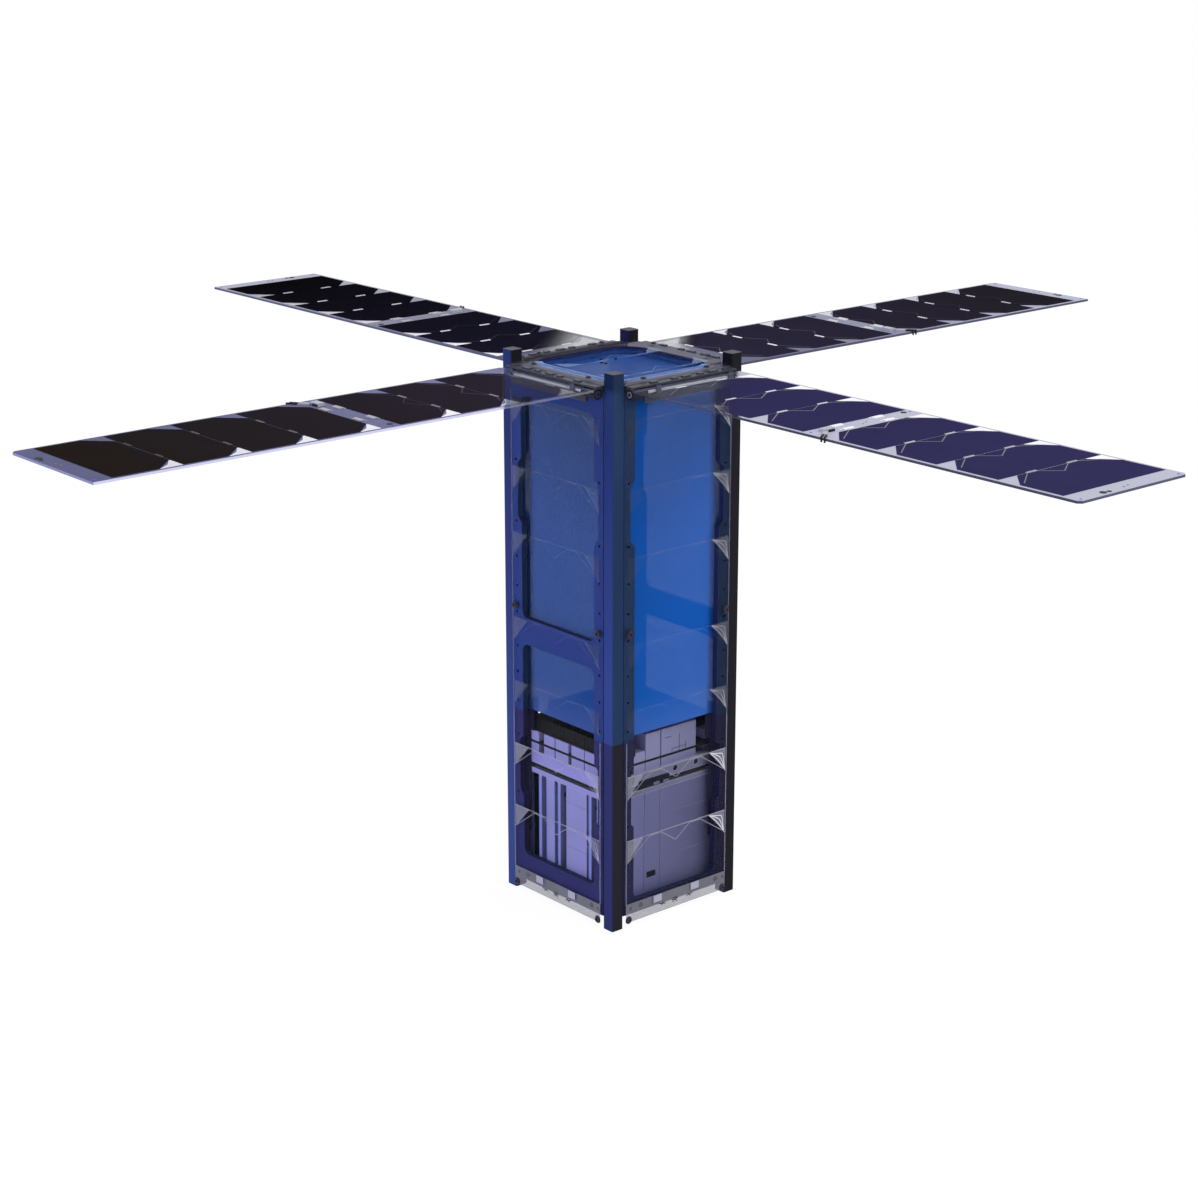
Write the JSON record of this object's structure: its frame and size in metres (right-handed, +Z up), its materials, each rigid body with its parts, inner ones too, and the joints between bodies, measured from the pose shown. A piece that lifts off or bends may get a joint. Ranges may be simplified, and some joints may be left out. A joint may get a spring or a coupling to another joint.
{
  "type": "small satellite",
  "caption": "Cube-format satellite of three units with a clear-sided square body, a blue payload block and hinged solar wings folded out from its top.",
  "frame": {"origin": "on the plane of the four rail feet, under the middle of the body", "axes": "+Z up along the body, +X and +Y out through two neighbouring sides"},
  "size_m": [0.7536, 0.7536, 0.3405],
  "materials": {
    "rail": "dark blue-black hard anodised aluminium",
    "side_plate": "dark blue anodised aluminium",
    "end_frame": "dark grey anodised aluminium",
    "clear_sheet": "clear sheet with faint printed cell lines",
    "blue_clear": "clear blue block, satin",
    "pale_cover": "pale lilac-grey satin cover",
    "pale_metal": "satin milled aluminium",
    "dark_plastic": "black plastic",
    "black_board": "black circuit board",
    "hinge_metal": "grey milled aluminium",
    "pin_steel": "ground steel",
    "spring_black": "black spring sleeve",
    "wing_board": "pale circuit board with clear lacquer",
    "solar_cell": "dark violet-black solar cell under cover glass"
  },
  "bodies": {
    "bus": {"black_box": "dark_plastic", "bottom_frame": "end_frame", "bracket_frame": "pale_metal", "circuit_boards": "black_board", "clear_sheet_nx": "clear_sheet", "clear_sheet_ny": "clear_sheet", "clear_sheet_px": "clear_sheet", "clear_sheet_py": "clear_sheet", "clear_sheet_top": "clear_sheet", "hinge_bracket_nx": "hinge_metal", "hinge_bracket_ny": "hinge_metal", "hinge_bracket_px": "hinge_metal", "hinge_bracket_py": "hinge_metal", "hinge_pin_nx": "pin_steel", "hinge_pin_ny": "pin_steel", "hinge_pin_px": "pin_steel", "hinge_pin_py": "pin_steel", "hinge_spring_nx": "spring_black", "hinge_spring_ny": "spring_black", "hinge_spring_px": "spring_black", "hinge_spring_py": "spring_black", "lower_module_bars": "pale_cover", "lower_module_clips": "dark_plastic", "lower_module_core": "dark_plastic", "lower_module_panels": "pale_cover", "middle_plate": "pale_metal", "pale_blocks": "pale_cover", "payload_block": "blue_clear", "rail_back": "rail", "rail_front": "rail", "rail_left": "rail", "rail_right": "rail", "side_plate_nx": "side_plate", "side_plate_ny": "side_plate", "side_plate_px": "side_plate", "side_plate_py": "side_plate", "top_frame": "end_frame"},
    "wing_px": {"wing_board_px": "wing_board", "wing_cells_px": "solar_cell", "wing_leaf_px": "hinge_metal"},
    "wing_nx": {"wing_board_nx": "wing_board", "wing_cells_nx": "solar_cell", "wing_leaf_nx": "hinge_metal"},
    "wing_py": {"wing_board_py": "wing_board", "wing_cells_py": "solar_cell", "wing_leaf_py": "hinge_metal"},
    "wing_ny": {"wing_board_ny": "wing_board", "wing_cells_ny": "solar_cell", "wing_leaf_ny": "hinge_metal"}
  },
  "joints": [
    {"name": "wing_px_fold", "type": "hinge", "parent": "bus", "child": "wing_px", "pos_m": [0.0538, 0, 0.3285], "axis": [0, 1, 0], "range_deg": [0, 90], "stiffness_Nm_per_rad": 0.08, "springref_deg": -148.97},
    {"name": "wing_nx_fold", "type": "hinge", "parent": "bus", "child": "wing_nx", "pos_m": [-0.0538, 0, 0.3285], "axis": [0, -1, 0], "range_deg": [0, 90], "stiffness_Nm_per_rad": 0.08, "springref_deg": -148.97},
    {"name": "wing_py_fold", "type": "hinge", "parent": "bus", "child": "wing_py", "pos_m": [0, 0.0538, 0.3285], "axis": [-1, 0, 0], "range_deg": [0, 90], "stiffness_Nm_per_rad": 0.08, "springref_deg": -148.97},
    {"name": "wing_ny_fold", "type": "hinge", "parent": "bus", "child": "wing_ny", "pos_m": [0, -0.0538, 0.3285], "axis": [1, 0, 0], "range_deg": [0, 90], "stiffness_Nm_per_rad": 0.08, "springref_deg": -148.97}
  ]
}
